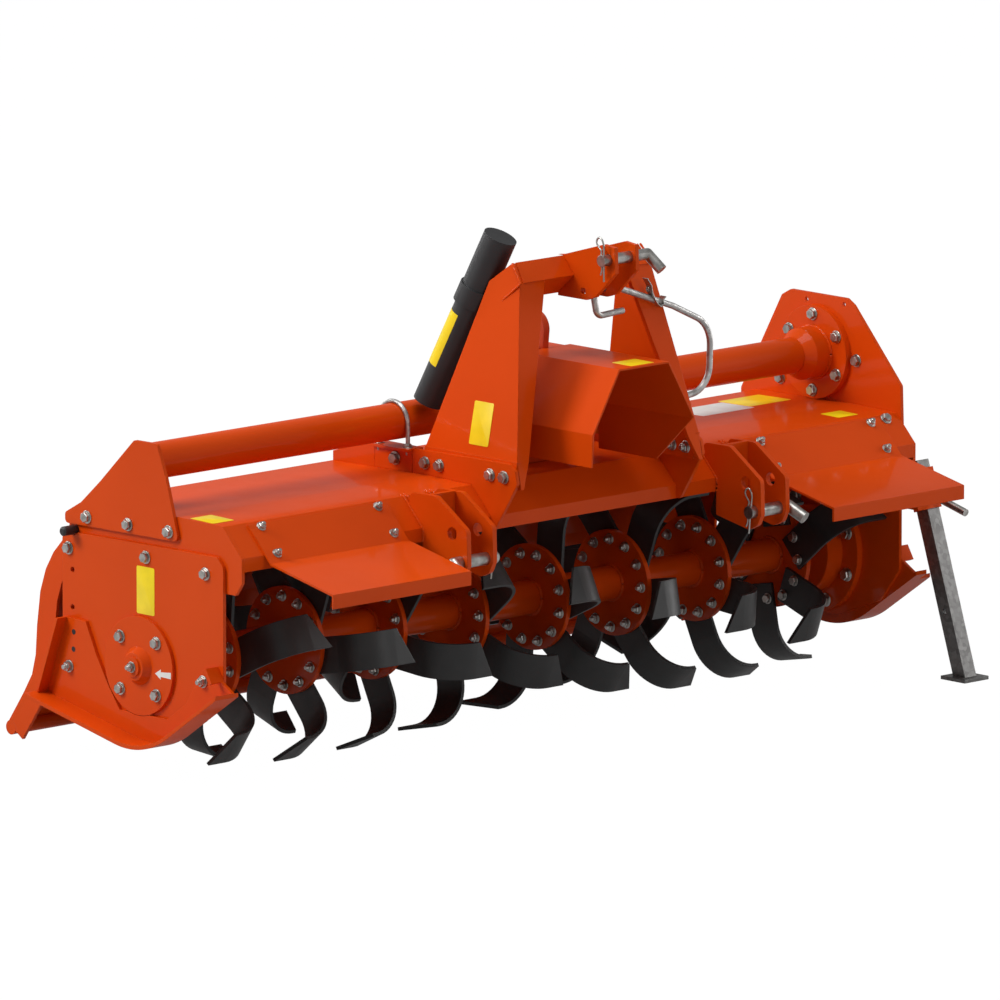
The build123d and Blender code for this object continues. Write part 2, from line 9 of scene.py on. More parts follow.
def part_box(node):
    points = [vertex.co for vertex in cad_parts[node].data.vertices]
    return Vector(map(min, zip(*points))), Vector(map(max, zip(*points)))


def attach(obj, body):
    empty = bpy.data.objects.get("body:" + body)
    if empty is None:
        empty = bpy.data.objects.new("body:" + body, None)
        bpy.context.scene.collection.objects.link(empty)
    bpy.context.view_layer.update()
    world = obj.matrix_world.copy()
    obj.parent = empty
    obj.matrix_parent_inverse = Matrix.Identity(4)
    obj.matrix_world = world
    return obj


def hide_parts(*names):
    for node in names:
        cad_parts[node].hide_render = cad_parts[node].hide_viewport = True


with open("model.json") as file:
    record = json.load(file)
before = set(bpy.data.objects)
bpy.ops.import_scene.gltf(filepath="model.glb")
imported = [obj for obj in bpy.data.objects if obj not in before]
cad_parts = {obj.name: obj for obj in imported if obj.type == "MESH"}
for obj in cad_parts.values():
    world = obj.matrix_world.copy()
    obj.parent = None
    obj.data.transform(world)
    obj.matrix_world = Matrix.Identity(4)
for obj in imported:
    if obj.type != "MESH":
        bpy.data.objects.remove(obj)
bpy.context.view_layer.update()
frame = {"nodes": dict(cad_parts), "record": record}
print("frame loaded:", len(frame["nodes"]), "nodes")

# the drawing's own zero: middle of the hood across, rotor axis for the other two
hoodLow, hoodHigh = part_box("hood")
rotorLow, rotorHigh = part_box("rotor_shaft")
zero = Vector(((hoodLow[0] + hoodHigh[0]) / 2, (rotorLow[1] + rotorHigh[1]) / 2,
               (rotorLow[2] + rotorHigh[2]) / 2))

# what several pieces share, in millimetres from that zero
lineHeight = 441  # axis of the cross tubes, gearbox and input shaft
plateFace = 1024  # outer face of a side plate
webFace = 1032  # outer face of a skid's web and of the bearing cover
caseFace = 1078  # outer face of the drive case
flanges = dict(first=-847, pitch=246, count=8)
ends = ((-1, "Left"), (1, "Right"))


def spot(x, y, z):
    return zero + Vector((x, y, z)) / 1000  # millimetres from the drawing's zero


def circlePlaces(x, z, radius, angles, out):
    # bolt places on a circle that stands across X, from angles in degrees
    return [(spot(x, radius * math.cos(t), z + radius * math.sin(t)), out) for t in map(math.radians, angles)]


def linear(red, green, blue):
    return tuple(((c / 255 + 0.055) / 1.055) ** 2.4 if c > 10 else c / 3294
                 for c in (red, green, blue)) + (1,)


def startMaterial(name, roughness, metallic=0.0):
    material = bpy.data.materials.new(name)
    material.use_nodes = True
    nodes, links = material.node_tree.nodes, material.node_tree.links
    shader = nodes["Principled BSDF"]
    shader.inputs["Roughness"].default_value = roughness
    shader.inputs["Metallic"].default_value = metallic
    return material, nodes, links, shader


def noiseNode(nodes, links, scale, detail, stretch=(1, 1, 1)):
    place = nodes.new("ShaderNodeTexCoord")
    mapping = nodes.new("ShaderNodeMapping")
    mapping.inputs["Scale"].default_value = stretch
    noise = nodes.new("ShaderNodeTexNoise")
    noise.inputs["Scale"].default_value = scale
    noise.inputs["Detail"].default_value = detail
    links.new(place.outputs["Object"], mapping.inputs["Vector"])
    links.new(mapping.outputs["Vector"], noise.inputs["Vector"])
    return noise


def rampBetween(nodes, links, source, low, high, start=0.35, end=0.65):
    ramp = nodes.new("ShaderNodeValToRGB")
    first, last = ramp.color_ramp.elements
    first.position, last.position = start, end
    first.color, last.color = low, high
    links.new(source, ramp.inputs["Fac"])
    return ramp.outputs["Color"]


def spreadRoughness(nodes, links, shader, source, low, high):
    mapRange = nodes.new("ShaderNodeMapRange")
    mapRange.inputs["To Min"].default_value = low
    mapRange.inputs["To Max"].default_value = high
    links.new(source, mapRange.inputs["Value"])
    links.new(mapRange.outputs["Result"], shader.inputs["Roughness"])


def addBump(nodes, links, shader, source, strength, distance, edge=0.0):
    # a fine bump, with corners rounded to the edge radius in metres
    bump = nodes.new("ShaderNodeBump")
    bump.inputs["Strength"].default_value = strength
    bump.inputs["Distance"].default_value = distance
    links.new(source, bump.inputs["Height"])
    if edge:
        bevel = nodes.new("ShaderNodeBevel")
        bevel.samples = 4
        bevel.inputs["Radius"].default_value = edge
        links.new(bevel.outputs["Normal"], bump.inputs["Normal"])
    links.new(bump.outputs["Normal"], shader.inputs["Normal"])


def makeFinish(look):
    # cloud, sheen and grain: scale and detail of the noise behind colour, roughness and bump
    # bump: strength, distance and edge radius
    material, nodes, links, shader = startMaterial(look["name"], look["roughness"], look.get("metallic", 0.0))
    cloud, sheen, grain = (noiseNode(nodes, links, *look[layer]).outputs["Fac"]
                           for layer in ("cloud", "sheen", "grain"))
    links.new(rampBetween(nodes, links, cloud, *look["tones"]), shader.inputs["Base Color"])
    spreadRoughness(nodes, links, shader, sheen, *look["spread"])
    for socket, value in look.get("sockets", {}).items():
        shader.inputs[socket].default_value = value
    addBump(nodes, links, shader, grain, *look["bump"])
    return material


def makePaint():
    return makeFinish(dict(
        name="orangePaint", roughness=0.42, tones=(linear(206, 68, 5), linear(216, 73, 8)),
        cloud=(2.2, 4), sheen=(14, 5), spread=(0.34, 0.5), grain=(420, 2), bump=(0.1, 0.0006, 0.0022),
        sockets={"Specular IOR Level": 0.04, "Coat Weight": 0.22, "Coat Roughness": 0.08}))


def makeBlackPaint():
    return makeFinish(dict(
        name="blackPaint", roughness=0.42, tones=(linear(30, 30, 30), linear(44, 44, 44)),
        cloud=(9, 5), sheen=(40, 6), spread=(0.34, 0.55), grain=(260, 4), bump=(0.16, 0.0008, 0.0016)))


def makeZinc():
    return makeFinish(dict(
        name="zincPlate", roughness=0.3, metallic=1.0, tones=(linear(152, 149, 144), linear(192, 190, 186)),
        cloud=(60, 4), sheen=(150, 4), spread=(0.22, 0.42), grain=(900, 2), bump=(0.06, 0.0003, 0.0007)))


def makePlastic():
    return makeFinish(dict(
        name="blackPlastic", roughness=0.5, tones=(linear(26, 26, 28), linear(34, 34, 36)),
        cloud=(12, 3), sheen=(30, 4), spread=(0.42, 0.58), grain=(1400, 2), bump=(0.14, 0.0003, 0.0015)))


def makeCasting():
    # the gearbox's casting, painted orange over its grain
    return makeFinish(dict(
        name="darkCasting", roughness=0.55, tones=(linear(196, 62, 10), linear(208, 68, 12)),
        cloud=(8, 4), sheen=(30, 4), spread=(0.45, 0.62), grain=(240, 5), bump=(0.35, 0.0012, 0.004)))


def makeLabel(name, colour):
    darker = tuple(c * 0.9 for c in colour[:3]) + (1,)
    return makeFinish(dict(
        name=name, roughness=0.32, tones=(darker, colour),
        cloud=(25, 3), sheen=(70, 3), spread=(0.26, 0.38), grain=(500, 2), bump=(0.04, 0.0002)))


def makeGalvanised(name, dull=1.0):
    # zinc spangles; dull below 1 darkens them
    look = dict(deep=(150, 148, 146), bright=(188, 186, 184), spangles=110)
    material, nodes, links, shader = startMaterial(name, 0.42, 0.85)
    place = nodes.new("ShaderNodeTexCoord")
    spangle = nodes.new("ShaderNodeTexVoronoi")
    spangle.inputs["Scale"].default_value = look["spangles"]
    links.new(place.outputs["Object"], spangle.inputs["Vector"])
    deep, bright = (linear(*(c * dull for c in look[tone])) for tone in ("deep", "bright"))
    links.new(rampBetween(nodes, links, spangle.outputs["Color"], deep, bright, 0.1, 0.9),
              shader.inputs["Base Color"])
    spreadRoughness(nodes, links, shader, spangle.outputs["Distance"], 0.34, 0.55)
    addBump(nodes, links, shader, noiseNode(nodes, links, 500, 3).outputs["Fac"], 0.08, 0.0004, 0.0016)
    return material


def makeSteel():
    # fine turning marks, drawn out along Y
    material, nodes, links, shader = startMaterial("bareSteel", 0.28, 1.0)
    turned = noiseNode(nodes, links, 300, 2, (1, 0.02, 1)).outputs["Fac"]
    links.new(rampBetween(nodes, links, turned, linear(150, 146, 138), linear(200, 196, 188)),
              shader.inputs["Base Color"])
    spreadRoughness(nodes, links, shader, turned, 0.2, 0.36)
    addBump(nodes, links, shader, turned, 0.05, 0.0003, 0.0008)
    return material


paint, zinc, galvanised = makePaint(), makeZinc(), makeGalvanised("galvanised")
plastic, casting, steel = makePlastic(), makeCasting(), makeSteel()
yellow, white = makeLabel("yellowFilm", linear(250, 220, 20)), makeLabel("whiteFilm", linear(236, 236, 232))
slotFinish = {"orange_paint": paint, "black_paint": makeBlackPaint(), "zinc_plate": zinc,
              "galvanised": galvanised, "black_plastic": plastic, "dark_casting": casting,
              "bare_steel": steel}
slotOf = {part["node"]: part["material_slot"] for part in frame["record"]["subparts"]}
for node, piece in frame["nodes"].items():
    piece.data.materials.clear()
    piece.data.materials.append(slotFinish[slotOf[node]])
frame["nodes"]["stand_leg"].data.materials[0] = makeGalvanised("weatheredGalvanised", 0.68)
print("finishes made")


def addPiece(name, mesh, material, body):
    piece = bpy.data.objects.new(name, mesh)
    bpy.context.collection.objects.link(piece)
    piece.data.materials.append(material)
    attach(piece, body)
    return piece


def finishMesh(name, shape, smoothAngle=40):
    mesh = bpy.data.meshes.new(name)
    bmesh.ops.recalc_face_normals(shape, faces=shape.faces)
    for face in shape.faces:
        face.smooth = True
    for edge in shape.edges:
        edge.smooth = len(edge.link_faces) == 2 and edge.calc_face_angle(0) < math.radians(smoothAngle)
    shape.to_mesh(mesh)
    shape.free()
    return mesh


def turnTo(direction, origin, spin=0.0):
    return (Matrix.Translation(origin) @ Vector(direction).to_track_quat("Z", "Y").to_matrix().to_4x4()
            @ Matrix.Rotation(spin, 4, "Z"))


def joinRings(shape, low, high):
    for i in range(len(low)):
        j = (i + 1) % len(low)
        shape.faces.new((low[i], low[j], high[j], high[i]))


def addLathe(shape, profile, place, sides=24):
    # profile: (radius, height) pairs from one end to the other, in millimetres
    rings = []
    for radius, height in profile:
        if radius == 0:
            rings.append([shape.verts.new(place @ Vector((0, 0, height / 1000)))])
            continue
        rings.append([shape.verts.new(place @ Vector((math.cos(t) * radius / 1000, math.sin(t) * radius / 1000,
                                                      height / 1000)))
                      for t in (2 * math.pi * i / sides for i in range(sides))])
    for low, high in zip(rings, rings[1:]):
        for i in range(sides):
            j = (i + 1) % sides
            if len(low) == 1:
                shape.faces.new((low[0], high[j], high[i]))
            elif len(high) == 1:
                shape.faces.new((low[i], low[j], high[0]))
            else:
                shape.faces.new((low[i], low[j], high[j], high[i]))
    for ring, turned in ((rings[0], True), (rings[-1], False)):
        if len(ring) > 1:
            shape.faces.new(ring[::-1] if turned else ring)


def addBolt(shape, place, size):
    # a washer, then a hexagon with its top edge cut; size is the thread in millimetres
    across = 0.9 * size
    addLathe(shape, [(1.12 * size, 0), (1.12 * size, 0.12 * size), (1.05 * size, 0.2 * size),
                     (0, 0.2 * size)], place, 20)
    addLathe(shape, [(across * 0.93, 0.18 * size), (across, 0.25 * size), (across, 0.72 * size),
                     (across * 0.86, 0.86 * size), (0, 0.86 * size)], place, 6)


def addNut(shape, place, size):
    # washer, hexagon and the bolt's threaded end standing out of it
    addBolt(shape, place, size)
    thread = [(0.5 * size, 0.8 * size)]
    turns = 4
    for i in range(turns):
        base = (0.86 + 0.14 * i) * size
        thread += [(0.5 * size, base), (0.44 * size, base + 0.07 * size)]
    thread += [(0.4 * size, (0.9 + 0.14 * turns) * size), (0, (0.92 + 0.14 * turns) * size)]
    addLathe(shape, thread, place, 16)


def fastenerSet(name, places, size, body, form=addBolt):
    shape = bmesh.new()
    for i, (origin, direction) in enumerate(places):
        form(shape, turnTo(direction, origin, spin=0.7 * i), size)
    return addPiece(name, finishMesh(name, shape), zinc, body)


def wirePiece(name, points, radius, material, body):
    # a round wire through points, millimetres from the drawing's zero
    curve = bpy.data.curves.new(name, "CURVE")
    curve.dimensions = "3D"
    curve.bevel_depth = radius / 1000
    curve.bevel_resolution = 4
    curve.use_fill_caps = True
    line = curve.splines.new("NURBS")
    line.points.add(len(points) - 1)
    for point, place in zip(line.points, points):
        point.co = (*spot(*place), 1)
    line.order_u = 3
    line.use_endpoint_u = True
    line.resolution_u = 10
    piece = bpy.data.objects.new(name, curve)
    bpy.context.collection.objects.link(piece)
    dressed = bpy.data.meshes.new_from_object(piece)
    bpy.data.objects.remove(piece)
    for face in dressed.polygons:
        face.use_smooth = True
    return addPiece(name, dressed, material, body)


def filmPiece(name, centre, across, up, size, body, material):
    # a stuck-on film: a thin rounded rectangle standing on a surface
    look = dict(corner=4.0, thick=0.5, edge=0.4)
    across, up = Vector(across).normalized(), Vector(up).normalized()
    out = across.cross(up)
    width, height, bend = *size, look["corner"]
    start = Vector(centre) - across * width / 2 - up * height / 2
    outline = []
    for cx, cy, turn in ((width - bend, height - bend, 0), (bend, height - bend, 90), (bend, bend, 180),
                         (width - bend, bend, 270)):
        for step in range(5):
            t = math.radians(turn + 22.5 * step)
            outline.append((cx + bend * math.cos(t), cy + bend * math.sin(t)))
    shape = bmesh.new()
    rings = []
    for lift, inset in ((0, 0), (look["thick"] * 0.7, 0), (look["thick"], look["edge"])):
        ring = []
        for x, y in outline:
            x += inset * (1 if x < width / 2 else -1)
            y += inset * (1 if y < height / 2 else -1)
            ring.append(shape.verts.new(spot(*start) + (across * x + up * y + out * lift) / 1000))
        rings.append(ring)
    for low, high in zip(rings, rings[1:]):
        joinRings(shape, low, high)
    shape.faces.new(rings[-1])
    shape.faces.new(rings[0][::-1])
    return addPiece(name, finishMesh(name, shape, 60), material, body)


def weldBead(name, runs, radius, body):
    # a ripple-topped bead along each run of points
    look = dict(seed=3, sides=8, step=3.0, ripple=0.1, uneven=0.05)
    luck = random.Random(look["seed"])
    shape = bmesh.new()
    for run in runs:
        line = [spot(*p) for p in run]
        samples = []
        for a, b in zip(line, line[1:]):
            steps = max(2, int((b - a).length * 1000 / look["step"]))
            samples += [a.lerp(b, i / steps) for i in range(steps)]
        samples.append(line[-1])
        rings = []
        for i, place in enumerate(samples):
            ahead = samples[min(i + 1, len(samples) - 1)] - samples[max(i - 1, 0)]
            turn = turnTo(ahead, place)
            uneven = luck.uniform(-look["uneven"], look["uneven"])
            swell = radius * (1 + look["ripple"] * math.sin(i * 1.9) + uneven) / 1000
            rings.append([shape.verts.new(turn @ Vector((math.cos(t) * swell, math.sin(t) * swell, 0)))
                          for t in (2 * math.pi * k / look["sides"] for k in range(look["sides"]))])
        for low, high in zip(rings, rings[1:]):
            joinRings(shape, low, high)
        shape.faces.new(rings[0][::-1])
        shape.faces.new(rings[-1])
    return addPiece(name, finishMesh(name, shape, 80), paint, body)


def ringPoints(x, z, radius):
    steps = 40
    return [(x, radius * math.cos(t), z + radius * math.sin(t))
            for t in (2 * math.pi * i / steps for i in range(steps + 1))]


def blendBySight(nodes, links, plain, shown, seen, mirrored, output):
    # lights the object as plain, and looks like shown to the camera (share seen) and in metal (share mirrored)
    path = nodes.new("ShaderNodeLightPath")
    direct = nodes.new("ShaderNodeMath")
    direct.operation = "MULTIPLY"
    direct.inputs[1].default_value = seen
    share = nodes.new("ShaderNodeMath")
    share.operation = "MULTIPLY_ADD"
    share.inputs[1].default_value = mirrored
    blend = nodes.new("ShaderNodeMixShader")
    links.new(path.outputs["Is Camera Ray"], direct.inputs[0])
    links.new(path.outputs["Is Glossy Ray"], share.inputs[0])
    links.new(direct.outputs[0], share.inputs[2])
    links.new(share.outputs[0], blend.inputs[0])
    links.new(plain.outputs[0], blend.inputs[1])
    links.new(shown.outputs[0], blend.inputs[2])
    links.new(blend.outputs[0], output.inputs["Surface"])


def placeCamera():
    look = dict(azimuth=-43.7, elevation=10.3, frameWidth=2.186, lens=600.0, sensor=36, aim=(40.5, 0.0, 227.0),
                clip=(1.0, 400.0))
    turn, lift = math.radians(look["azimuth"]), math.radians(look["elevation"])
    back = Vector((math.sin(turn) * math.cos(lift), -math.cos(turn) * math.cos(lift), math.sin(lift)))
    camera = bpy.data.objects.new("camera", bpy.data.cameras.new("camera"))
    bpy.context.collection.objects.link(camera)
    camera.data.lens = look["lens"]
    camera.data.sensor_width = look["sensor"]
    distance = look["frameWidth"] * look["lens"] / look["sensor"]
    camera.location = spot(*look["aim"]) + back * distance
    camera.rotation_mode = "QUATERNION"
    camera.rotation_quaternion = (-back).to_track_quat("-Z", "Y")
    camera.data.clip_start, camera.data.clip_end = look["clip"]
    bpy.context.scene.camera = camera
    bpy.context.scene.view_settings.view_transform = "Standard"


def buildFloor():
    look = dict(radius=150, grey=0.5, glow=1.04, seen=0.96, mirrored=0.25)
    floorMesh = bpy.data.meshes.new("floor")
    shape = bmesh.new()
    bmesh.ops.create_circle(shape, cap_ends=True, segments=64, radius=look["radius"])
    shape.to_mesh(floorMesh)
    shape.free()
    floor = bpy.data.objects.new("floor", floorMesh)
    bpy.context.collection.objects.link(floor)
    material = bpy.data.materials.new("paleFloor")
    material.use_nodes = True
    nodes, links = material.node_tree.nodes, material.node_tree.links
    nodes.clear()
    pale = nodes.new("ShaderNodeBsdfDiffuse")
    pale.inputs["Color"].default_value = (look["grey"], look["grey"], look["grey"], 1)
    glow = nodes.new("ShaderNodeEmission")
    glow.inputs["Strength"].default_value = look["glow"]
    output = nodes.new("ShaderNodeOutputMaterial")
    blendBySight(nodes, links, pale, glow, look["seen"], look["mirrored"], output)
    floorMesh.materials.append(material)


def buildWorld():
    look = dict(strength=0.2, seen=1.0, mirrored=0.3)
    world = bpy.data.worlds.new("studio")
    bpy.context.scene.world = world
    world.use_nodes = True
    nodes, links = world.node_tree.nodes, world.node_tree.links
    nodes.clear()
    sky = nodes.new("ShaderNodeBackground")
    sky.inputs["Strength"].default_value = look["strength"]
    shown = nodes.new("ShaderNodeBackground")
    output = nodes.new("ShaderNodeOutputWorld")
    blendBySight(nodes, links, sky, shown, look["seen"], look["mirrored"], output)


def placeLamps():
    aim = Vector((0, 0, 0.4))
    lamps = {"key": dict(place=(-4.8, 2.2, 4.0), size=2.2, power=240),
             "top": dict(place=(-0.8, -0.4, 5.6), size=3.0, power=125),
             "right": dict(place=(5.4, -2.0, 1.6), size=2.6, power=120),
             "rear": dict(place=(-0.8, 5.8, 3.4), size=2.8, power=130),
             "front": dict(place=(0.0, -5.8, 2.4), size=2.6, power=50)}
    for name, look in lamps.items():
        light = bpy.data.lights.new(name, "AREA")
        light.energy, light.size = look["power"], look["size"]
        lamp = bpy.data.objects.new(name, light)
        bpy.context.collection.objects.link(lamp)
        lamp.location = look["place"]
        lamp.rotation_mode = "QUATERNION"
        lamp.rotation_quaternion = (aim - Vector(look["place"])).to_track_quat("-Z", "Y")


placeCamera()
buildFloor()
buildWorld()
placeLamps()
print("stage built")


def plateBolts():
    # (y, z) places on each side plate, and of the studs that hold the skids
    plate = dict(shared=[(230, 226), (-204, 227), (171, 301)], left=[(-16, 238), (40, 302), (-88, 303)],
                 right=[(-150, 305)])
    skid = [(221, -31), (-204, -6)]
    for side, tag in ends:
        out = (side, 0, 0)
        rows = plate["shared"] + plate[tag.lower()]
        fastenerSet("plateBolts" + tag, [(spot(side * plateFace, y, z), out) for y, z in rows], 13, "frame")
        studs = [(spot(side * webFace, y, z), out) for y, z in skid]
        fastenerSet("skidBolts" + tag, studs, 12.5, "frame", addNut)


def bearingBolts():
    look = dict(reach=57, cap=1052, housingFace=999.5, housingRadius=122)
    reach, out = look["reach"], (-1, 0, 0)
    corners = ((reach, reach), (-reach, reach), (reach, -reach), (-reach, -reach))
    fastenerSet("coverBolts", [(spot(-webFace, y, z), out) for y, z in corners], 13, "frame")
    fastenerSet("capNut", [(spot(-look["cap"], 0, 0), out)], 11, "frame", addNut)
    angles = [22.5 + 45 * i for i in range(8)]
    housing = circlePlaces(look["housingFace"], 0, look["housingRadius"], angles, out)
    fastenerSet("housingBolts", housing, 14, "frame")


def caseBolts():
    look = dict(highRadius=80, lowRadius=84, straight=83, levels=(110, 220, 330))
    out = (1, 0, 0)
    rim = circlePlaces(caseFace, lineHeight, look["highRadius"], range(0, 181, 36), out)
    rim += [(spot(caseFace, side * look["straight"], z), out) for side in (-1, 1) for z in look["levels"]]
    rim += circlePlaces(caseFace, 0, look["lowRadius"], range(180, 361, 45), out)
    fastenerSet("caseBolts", rim, 10, "frame")


def tubeBolts():
    # the right tube's end flange, the plate's own two bolts, and the flanges at the gearbox
    look = dict(flangeFace=1002, flangeRadius=86, plateFace=1016, boxFace=100, boxRadius=54)
    angles, out = [30 + 60 * i for i in range(6)], (-1, 0, 0)
    disc = circlePlaces(look["flangeFace"], lineHeight, look["flangeRadius"], angles, out)
    disc += [(spot(look["plateFace"], y, lineHeight + z), out) for y, z in ((-124, -6), (115, -74))]
    fastenerSet("tubeFlangeBolts", disc, 13, "frame")
    for side, tag in ends:
        inner = circlePlaces(side * look["boxFace"], lineHeight, look["boxRadius"], angles, (side, 0, 0))
        fastenerSet("boxFlangeBolts" + tag, inner, 9, "frame")


def hitchBolts():
    slope = Vector((0, -0.719, 0.695))  # out of the hood's front slope
    bracket = dict(outer=283, inner=265, z=363, back=-104, both=(-149, -308, -351))
    shelf = dict(across=(577, 919), rows=((-266, 324.7), (-316, 273)))
    for side, tag in ends:
        heads = [(spot(side * bracket["outer"], y, bracket["z"]), (side, 0, 0))
                 for y in (bracket["back"], *bracket["both"])]
        fastenerSet("bracketBolts" + tag, heads, 13, "frame")
        inner = [(spot(side * bracket["inner"], y, bracket["z"]), (-side, 0, 0)) for y in bracket["both"]]
        fastenerSet("bracketNuts" + tag, inner, 12.5, "frame", addNut)
        studs = [(spot(side * x, y, z), slope) for x in shelf["across"] for y, z in shelf["rows"]]
        fastenerSet("shelfBolts" + tag, studs, 10, "frame", addNut)
    fastenerSet("hoodPlug", [(spot(974, -258, 326), slope)], 12, "frame")


def rotorBolts():
    # half: from a flange's middle to its face; grip: thickness of the tine under the bolts' heads
    look = dict(ring=98, half=6.2, grip=8, firstTurn=1.6, size=11)
    shape, nuts = bmesh.new(), bmesh.new()
    last = flanges["count"] - 1
    for i in range(flanges["count"]):
        x = flanges["first"] + i * flanges["pitch"]
        face = -1 if i == last else 1
        for k in range(12):
            turn = math.radians(look["firstTurn"] + 15 * (last - i) + 30 * k)
            y, z = -look["ring"] * math.sin(turn), -look["ring"] * math.cos(turn)
            nutPlace = spot(x - face * look["half"], y, z)
            headPlace = spot(x + face * (look["half"] + look["grip"]), y, z)
            addNut(nuts, turnTo((-face, 0, 0), nutPlace, 0.5 * k), look["size"])
            addBolt(shape, turnTo((face, 0, 0), headPlace, 0.5 * k), look["size"])
    addPiece("tineBolts", finishMesh("tineBolts", shape), zinc, "rotor")
    addPiece("tineNuts", finishMesh("tineNuts", nuts), zinc, "rotor")


plateBolts()
bearingBolts()
caseBolts()
tubeBolts()
hitchBolts()
rotorBolts()
print("fasteners placed")


def wrappedFilm(name, start, end, radius, facing, spread, body, material):
    # a film round a tube: from start to end along it, spread degrees wide about the facing direction
    start, end = spot(*start), spot(*end)
    along = (end - start).normalized()
    side = (Vector(facing) - along * Vector(facing).dot(along)).normalized()
    other = along.cross(side)
    steps = 16
    shape = bmesh.new()
    layers = []
    for lift in (0.0, 0.0006):
        rows = []
        for place in (start, end):
            rows.append([shape.verts.new(place + (side * math.cos(t) + other * math.sin(t))
                                         * (radius / 1000 + lift))
                         for t in (math.radians(spread * (i / steps - 0.5)) for i in range(steps + 1))])
        layers.append(rows)
    for i in range(steps):
        for rows, turned in ((layers[0], True), (layers[1], False)):
            face = [rows[0][i], rows[0][i + 1], rows[1][i + 1], rows[1][i]]
            shape.faces.new(face[::-1] if turned else face)
        for row in (0, 1):
            shape.faces.new((layers[0][row][i], layers[0][row][i + 1], layers[1][row][i + 1],
                             layers[1][row][i]))
    for i in (0, steps):
        shape.faces.new((layers[0][0][i], layers[0][1][i], layers[1][1][i], layers[1][0][i]))
    return addPiece(name, finishMesh(name, shape, 60), material, body)


def arrowPiece(name, centre, length, body):
    # a plain white arrow on the bearing cover, pointing to the rear
    half, thick = length / 2, 0.5
    outline = [(half, 0), (half - 18, 11), (half - 18, 5), (-half, 8), (-half, -6), (half - 18, -5),
               (half - 18, -11)]
    shape = bmesh.new()
    rings = [[shape.verts.new(spot(centre[0] - lift, centre[1] + y, centre[2] + z)) for y, z in outline]
             for lift in (0, thick)]
    joinRings(shape, *rings)
    shape.faces.new(rings[1])
    shape.faces.new(rings[0][::-1])
    return addPiece(name, finishMesh(name, shape, 60), white, body)


def buildFilms():
    # centre, across and up directions, size in millimetres, and finish
    back, right = (0, -1, 0), (1, 0, 0)
    legUp, hoodUp, creaseUp = (0.2011, 0, 0.9796), (0, 1, -0.02), (0, 1, 0.0214)
    films = {
        "legFilm": ((-260.3, -257, 466), back, legUp, (60, 95), yellow),
        "sideFilm": ((-1024.1, -15, 165), back, (0, 0, 1), (56, 104), yellow),
        "guardFilm": ((8, -450, 592.1), right, (0, 1, 0), (70, 62), yellow),
        "hoodFilmRight": ((900, 80, 333.3), right, hoodUp, (128, 105), yellow),
        "hoodPlateRight": ((752, 62, 333.7), right, hoodUp, (160, 105), white),
        "creaseFilmRight": ((903, -184, 335.8), right, creaseUp, (62, 58), yellow),
        "creaseFilmLeft": ((-978, -176, 336), right, creaseUp, (62, 74), yellow),
    }
    for name, (centre, across, up, size, material) in films.items():
        filmPiece(name, centre, across, up, size, "frame", material)
    tube = dict(start=(-210, -87.7, 566.4), end=(-192.8, -140.2, 684.1), radius=35.05,
                facing=(-0.76, 0.63, 0), spread=100)
    wrappedFilm("tubeFilm", body="frame", material=yellow, **tube)
    arrowPiece("turnArrow", (-webFace - 0.1, -78, -9), 50, "frame")


buildFilms()
print("films laid")


def hairpin(name, x, y, z, pinRadius, body, tilt=0.0):
    # an R clip through a pin: straight leg, round head, and a leg that hugs the pin
    r = pinRadius
    flat = [(0, -r - 34), (0, -r - 12), (0, r + 14), (0, r + 22), (-5, r + 33), (-14, r + 38), (-22, r + 31),
            (-22, r + 22), (-14, r + 14), (-6, r + 8), (-r * 0.7, r * 0.7), (-r - 3, 0), (-r * 0.7, -r * 0.8),
            (-4, -r - 8), (-10, -r - 20)]
    turned = [(x, y - (u * math.cos(tilt) - v * math.sin(tilt)), z + u * math.sin(tilt) + v * math.cos(tilt))
              for u, v in flat]
    return wirePiece(name, turned, 2.1, zinc, body)


def uBolt(name, x, body):
    # over the cross tube, with its two threaded legs through the clamp
    look = dict(reach=45, low=372, knee=410, radius=5.0)
    reach, low, knee = look["reach"], look["low"], look["knee"]
    arc = [(x, reach * math.cos(t), lineHeight + reach * math.sin(t))
           for t in (math.pi * i / 12 for i in range(13))]
    line = [(x, reach, low), (x, reach, knee)] + arc + [(x, -reach, knee), (x, -reach, low)]
    return wirePiece(name, line, look["radius"], galvanised, body)


def buildWires():
    clamp = dict(across=279, legs=(-45, 45), top=388.1, face=283.2, boltY=-10, boltZ=362)
    hairpin("topPinClip", -49, -418, 818, 12.5, "frame")
    for side, tag in ends:
        hairpin("lowerPinClip" + tag, side * 389, -427, 212, 14, "frame", tilt=-0.12)
        uBolt("tubeUBolt" + tag, side * clamp["across"], "frame")
        nuts = [(spot(side * clamp["across"], y, clamp["top"]), (0, 0, 1)) for y in clamp["legs"]]
        fastenerSet("clampNuts" + tag, nuts, 10, "frame")
        bolt = (spot(side * clamp["face"], clamp["boltY"], clamp["boltZ"]), (side, 0, 0))
        fastenerSet("clampBolt" + tag, [bolt], 14, "frame")
    pin = [(1082, -262, 160), (1082, -300, 146), (1082, -350, 133.5), (1082, -402, 120)]
    wirePiece("standPin", pin, 8.5, zinc, "frame")


def hingeKnobs():
    # black caps on the ends of the tailgate's hinge rod
    look = dict(radius=10.5, reach=35, face=1024.5, y=213, z=268)
    radius, reach = look["radius"], look["reach"]
    profile = [(radius - 1.5, 0), (radius, 2), (radius, reach - 4), (radius - 4, reach), (0, reach)]
    for side, tag in ends:
        shape = bmesh.new()
        addLathe(shape, profile, turnTo((side, 0, 0), spot(side * look["face"], look["y"], look["z"])), 28)
        addPiece("hingeKnob" + tag, finishMesh("hingeKnob" + tag, shape), plastic, "frame")


